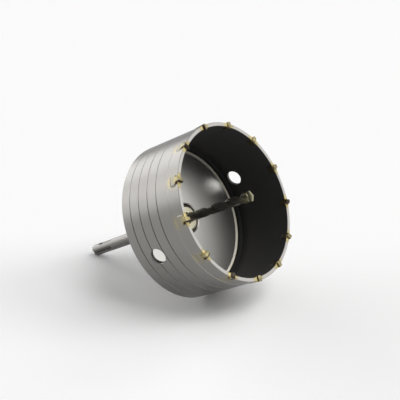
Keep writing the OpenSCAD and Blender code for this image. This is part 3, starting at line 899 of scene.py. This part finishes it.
def braze_sheet(random):
    """Thickness of the braze over the grid (rows over the wall, columns along the rim), and how
    thin it looks. Thickness = film * (1 - (distance / reach) squared) + fillet that falls off
    with the distance from the tooth, higher on its trailing side and at its tail + slow waves."""
    sideways = np.maximum(np.abs(along) - TIP_W / 2, 0)[None]
    below = np.maximum(tip_top - TIP_LEN - z_row, 0)
    distance = np.hypot(sideways, below)
    waves = sum(np.sin(along[None] * random.uniform(*WAVE_ALONG) + z_row * random.uniform(*WAVE_DOWN)
                       + random.uniform(*WAVE_START)) for _ in range(WAVE_COUNT)) / WAVE_COUNT
    drop = CUP_H - z_row
    tail = is_outside * smoothstep(*TAIL_ZONE, drop)

    reach_top = (RUN_FRONT + (RUN_BACK - RUN_FRONT) * trailing) * random.uniform(*RUN_UNEVEN)
    reach_side = np.where(is_outside, SIDE_RUN_OUT + SIDE_RUN_BACK * trailing, SIDE_RUN_IN)
    reach_side = reach_side + CORNER_RUN * np.exp(-drop / CORNER_FADE)
    reach = (on_top * reach_top + (1 - on_top) * reach_side) * (1 + WAVE_REACH * waves)
    film = FILM_TOP * on_top + (FILM_SIDE + FILM_BACK * trailing) * (1 - on_top)
    film = film * (1 - (distance / reach) ** 2)

    climb_top = CLIMB_TOP + CLIMB_BACK * trailing
    climb_side = CLIMB_SIDE + CLIMB_BACK * trailing + CLIMB_TAIL * tail
    climb = on_top * climb_top + (1 - on_top) * climb_side
    fall_off = FALL_OFF + FALL_OFF_BACK * trailing + FALL_OFF_TAIL * tail
    fillet = climb * np.exp(-distance / fall_off) * smoothstep(*FILLET_END, distance)
    thickness = np.maximum(film, FILM_LEAST) + fillet + WAVE_SIZE * waves

    thin_side, thin_top = [smoothstep(start, 1.0, distance / reach)
                           for start in (THIN_FROM_SIDE, THIN_FROM_TOP)]
    thin = (1 - on_top) * thin_side + on_top * thin_top
    lowered = is_outside * TAIL_DROP * np.clip((tip_top - z_row) / TIP_LEN, 0, 1)
    highest = TIP_PROUD + ABOVE_TOP * on_top + ABOVE_TAIL * tail - UNDER_TIP - lowered
    return np.clip(thickness, -DIP, highest), np.clip(thin, 0, 1)


print(f"the braze may stand up to {TIP_PROUD + ABOVE_TOP - UNDER_TIP:.2f} mm above the rim")


# %% Braze sheets
def braze_points(thickness, turn):
    """The wall's section swept round the axis: section + normal * thickness, at the tooth's angle
    + along / wall's middle radius."""
    section = path_points[:, None] + path_normals[:, None] * thickness[..., None]
    angle = turn + along[None] / WALL_MID
    return np.stack([section[..., 0] * np.cos(angle), section[..., 0] * np.sin(angle), section[..., 1]], -1)


def sheet_faces(rows, columns):
    """Top sheet, bottom sheet and the strip that joins their borders."""
    top = grid_quads(rows, columns, False)
    bottom = top[:, ::-1] + rows * columns
    number = np.arange(rows * columns).reshape(rows, columns)
    border = np.concatenate([number[0], number[1:, -1], number[-1, -2::-1], number[-2:0:-1, 0]])
    onward = np.roll(border, -1)
    strip = np.stack([border, border + rows * columns, onward + rows * columns, onward], -1)
    return np.concatenate([top, bottom, strip]).tolist()


for number in range(TOOTH_COUNT):
    thickness, thin = braze_sheet(random)
    root = np.full_like(thickness, -SHEET_DEPTH)
    layers = [braze_points(level, tooth_turn(number)).reshape(-1, 3) for level in (thickness, root)]
    new_piece(f"braze_run_{number + 1:02d}", np.concatenate(layers), sheet_faces(SHEET_ROWS, SHEET_COLUMNS),
              "braze", f"braze_{number + 1:02d}", {"thin": np.tile(thin.reshape(-1), 2)})
print(f"{TOOTH_COUNT} runs of braze, {2 * SHEET_ROWS * SHEET_COLUMNS} points each")

# %% [markdown]
# ## The pilot drill
# A hammer drill has two wide lands with a flute between them, milled as a helix that runs
# out near the plain end. Twisting an extruded outline would do, but the run-out needs a
# section that changes with the height, and a grid gives that for free: the radius is a
# function of the angle, measured from the lands, and of the height.

# %% Spiral drill
PILOT_R, PILOT_SHANK_R, PILOT_CORE_R = 3.8, 4.0, 2.3
PILOT_BASE_Z, FLUTE_Z, STEEL_END_Z = -17.15, 14.2, 76.6
FLUTE_LEAD, FLUTE_PHASE, FLUTE_START = 34.5, 148.0, 13.2
FLUTE_EDGE = (0.38, 0.68)  # the flute's wall, as |cos| of the angle from the lands
RUN_OUT, STEP_LEN, ROWS_BEFORE = 7.0, 1.0, 6.0
END_LEN, END_TAPER, END_RINGS = 0.5, 0.09, 4
DRILL_COLUMNS, DRILL_ROWS = 96, 260

cone_z = STEEL_END_Z - END_LEN
heights = np.concatenate([[PILOT_BASE_Z], np.linspace(FLUTE_Z - ROWS_BEFORE, cone_z, DRILL_ROWS),
                          cone_z + END_LEN * np.linspace(1 / END_RINGS, 1, END_RINGS)])[:, None]
turns = np.linspace(0, 2 * math.pi, DRILL_COLUMNS, endpoint=False)[None]
lands = np.radians(FLUTE_PHASE) + 2 * math.pi * (heights - FLUTE_START) / FLUTE_LEAD
flute = 1 - smoothstep(*FLUTE_EDGE, np.abs(np.cos(turns - lands)))
depth = (PILOT_R - PILOT_CORE_R) * smoothstep(FLUTE_Z - STEP_LEN, FLUTE_Z + RUN_OUT, heights)
body = PILOT_SHANK_R + (PILOT_R - PILOT_SHANK_R) * smoothstep(FLUTE_Z - STEP_LEN, FLUTE_Z, heights)
end_cone = 1 - END_TAPER * smoothstep(cone_z, STEEL_END_Z, heights)
drill_r = (body - depth * flute) * end_cone
drill = np.stack([drill_r * np.cos(turns), drill_r * np.sin(turns), heights + 0 * turns], -1)
new_piece("spiral_drill", drill.reshape(-1, 3), bar_faces(*drill.shape[:2]), "black_drill", "pilot_drill")
print(f"the drill has {drill.shape[0] * drill.shape[1]} points")

# %% [markdown]
# ## The carbide point
# A carbide plate is brazed across the slotted end of the drill. Its roof is ground with a
# relief behind each cutting edge, opposite on the two halves, so that the edge cuts first.
# It could be cut from a block with two slanting planes. Here it is the same rounded bar as a
# tooth, because its edges are as soft, and the relief lowers its roof by an amount that
# changes sign with the side.

# %% Carbide point of the drill
POINT_W, POINT_T, POINT_LEN, POINT_ROOF, POINT_Z = 8.6, 1.8, 9.75, 2.2, 81.0
POINT_ANGLE, POINT_RELIEF, POINT_ROUND = 84.0, 0.25, 0.15
CHISEL_HALF, ROOF_BLEND = 0.4, 1.0
point_corners = [
    (-POINT_W / 2, POINT_Z - POINT_LEN), (POINT_W / 2, POINT_Z - POINT_LEN),
    (POINT_W / 2, POINT_Z - POINT_ROOF), (0, POINT_Z), (-POINT_W / 2, POINT_Z - POINT_ROOF),
]
blade = rounded_bar(point_corners, POINT_T, POINT_ROUND)
across, up, through = blade[..., 0], blade[..., 1], blade[..., 2]
ground = smoothstep(POINT_Z - POINT_ROOF - ROOF_BLEND, POINT_Z - POINT_ROOF, up)
up = up - ground * POINT_RELIEF * (POINT_T / 2 + through * np.tanh(across / CHISEL_HALF))
angle = math.radians(POINT_ANGLE)
blade = np.stack([across * math.cos(angle) + through * math.sin(angle),
                  across * math.sin(angle) - through * math.cos(angle), up], -1)
new_piece("drill_blade", blade.reshape(-1, 3), bar_faces(*blade.shape[:2]), "carbide", "pilot_point")
print(f"the point stands at z {blade[..., 2].max():.2f}")
